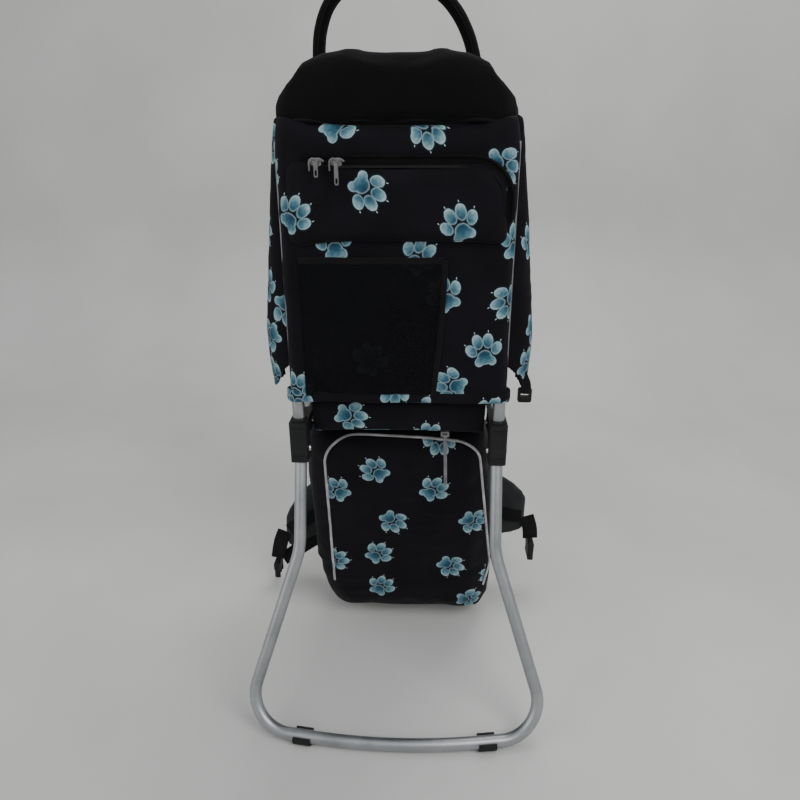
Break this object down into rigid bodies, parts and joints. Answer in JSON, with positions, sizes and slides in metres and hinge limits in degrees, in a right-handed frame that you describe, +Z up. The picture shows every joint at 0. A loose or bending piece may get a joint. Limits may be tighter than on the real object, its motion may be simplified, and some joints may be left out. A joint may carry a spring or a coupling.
{
  "type": "baby carrier backpack",
  "caption": "Framed child carrier backpack with a folding tube kickstand, zip and mesh pockets, lower bag, padded collar, grab handle, harness and belt.",
  "frame": {"origin": "on the floor, under the middle of the pack's outer box", "axes": "+Z up, +Y the way the wearer faces, +X to the wearer's right"},
  "size_m": [0.453, 0.4679, 0.9391],
  "materials": {
    "aluminium": "satin anodised",
    "rubber": "matte black",
    "black_plastic": "fine moulded grain",
    "steel": "plated",
    "printed_fabric": "woven polyester, near black with a blue paw print",
    "black_fabric": "matte black brushed fabric over foam",
    "mesh_fabric": "dark open mesh",
    "webbing": "black woven webbing",
    "zip_metal": "nickel plated",
    "zip_tape": "woven zip tape with a coil"
  },
  "bodies": {
    "pack": {"main_frame": "aluminium", "lower_crossbar": "aluminium", "seat_rail_left": "aluminium", "seat_rail_right": "aluminium", "rear_upright_left": "aluminium", "rear_upright_right": "aluminium", "frame_foot_left": "rubber", "frame_foot_right": "rubber", "rail_clamp_left": "black_plastic", "rail_clamp_right": "black_plastic", "hinge_housing_left": "black_plastic", "hinge_housing_right": "black_plastic", "side_buckle": "black_plastic", "harness_socket": "black_plastic", "hinge_pin_left": "steel", "hinge_pin_right": "steel", "rail_screw_left": "steel", "rail_screw_right": "steel", "pole_sleeve_left": "printed_fabric", "pole_sleeve_right": "printed_fabric", "rear_panel": "printed_fabric", "upper_pocket": "printed_fabric", "side_panel_left": "printed_fabric", "side_panel_right": "printed_fabric", "seat_base": "printed_fabric", "lower_bag": "printed_fabric", "headrest_collar": "black_fabric", "chest_pad": "black_fabric", "back_panel": "black_fabric", "lumbar_pad": "black_fabric", "shoulder_strap_left": "black_fabric", "shoulder_strap_right": "black_fabric", "mesh_pocket": "mesh_fabric", "crotch_strap": "webbing", "load_lifter_left": "webbing", "load_lifter_right": "webbing", "grab_handle": "webbing", "pocket_zip": "zip_tape", "bag_zip": "zip_tape"},
    "stand": {"kickstand": "aluminium", "stand_foot_left": "rubber", "stand_foot_right": "rubber"},
    "belt_left": {"belt_wing_left": "black_fabric", "belt_strap_left": "webbing", "belt_buckle_plug": "black_plastic"},
    "belt_right": {"belt_wing_right": "black_fabric", "belt_strap_right": "webbing", "belt_buckle_socket": "black_plastic"},
    "pocket_slider_1": {"pocket_slider_left": "zip_metal"},
    "pocket_pull_1": {"pocket_pull_left": "zip_metal"},
    "pocket_slider_2": {"pocket_slider_right": "zip_metal"},
    "pocket_pull_2": {"pocket_pull_right": "zip_metal"},
    "bag_slider": {"bag_slider": "zip_metal"},
    "bag_pull": {"bag_pull": "zip_metal"},
    "sternum": {"sternum_strap_left": "webbing", "sternum_socket": "black_plastic"},
    "sternum_release": {"sternum_plug": "black_plastic", "sternum_strap_right": "webbing"},
    "harness_top": {"harness_plug": "black_plastic", "harness_straps": "webbing"}
  },
  "joints": [
    {"name": "stand_fold", "type": "hinge", "parent": "pack", "child": "stand", "pos_m": [0, -0.07, 0.36], "axis": [1, 0, 0], "range_deg": [0, 32]},
    {"name": "belt_left_wrap", "type": "hinge", "parent": "pack", "child": "belt_left", "pos_m": [-0.1145, 0.1605, 0.139], "axis": [0, 0, -1], "range_deg": [0, 50]},
    {"name": "belt_right_wrap", "type": "hinge", "parent": "pack", "child": "belt_right", "pos_m": [0.1145, 0.1605, 0.139], "axis": [0, 0, 1], "range_deg": [0, 50]},
    {"name": "pocket_zip_left", "type": "slide", "parent": "pack", "child": "pocket_slider_1", "axis": [-1, 0, 0], "range_m": [0, 0.01]},
    {"name": "pocket_pull_left_swing", "type": "hinge", "parent": "pocket_slider_1", "child": "pocket_pull_1", "pos_m": [-0.086, -0.1033, 0.716], "axis": [1, 0, 0], "range_deg": [-80, 0]},
    {"name": "pocket_zip_right", "type": "slide", "parent": "pack", "child": "pocket_slider_2", "axis": [1, 0, 0], "range_m": [0, 0.13]},
    {"name": "pocket_pull_right_swing", "type": "hinge", "parent": "pocket_slider_2", "child": "pocket_pull_2", "pos_m": [-0.064, -0.1033, 0.716], "axis": [1, 0, 0], "range_deg": [-80, 0]},
    {"name": "bag_zip_slide", "type": "slide", "parent": "pack", "child": "bag_slider", "axis": [-1, 0, 0], "range_m": [0, 0.12]},
    {"name": "bag_pull_swing", "type": "hinge", "parent": "bag_slider", "child": "bag_pull", "pos_m": [0.062, -0.03659, 0.3655], "axis": [1, 0, 0], "range_deg": [-80, 0]},
    {"name": "sternum_height", "type": "slide", "parent": "pack", "child": "sternum", "axis": [0, 0, 1], "range_m": [-0.04, 0.04]},
    {"name": "sternum_unclip", "type": "slide", "parent": "sternum", "child": "sternum_release", "axis": [1, 0, 0], "range_m": [0, 0.024]},
    {"name": "harness_unclip", "type": "slide", "parent": "pack", "child": "harness_top", "axis": [0, 0, 1], "range_m": [0, 0.03]}
  ]
}
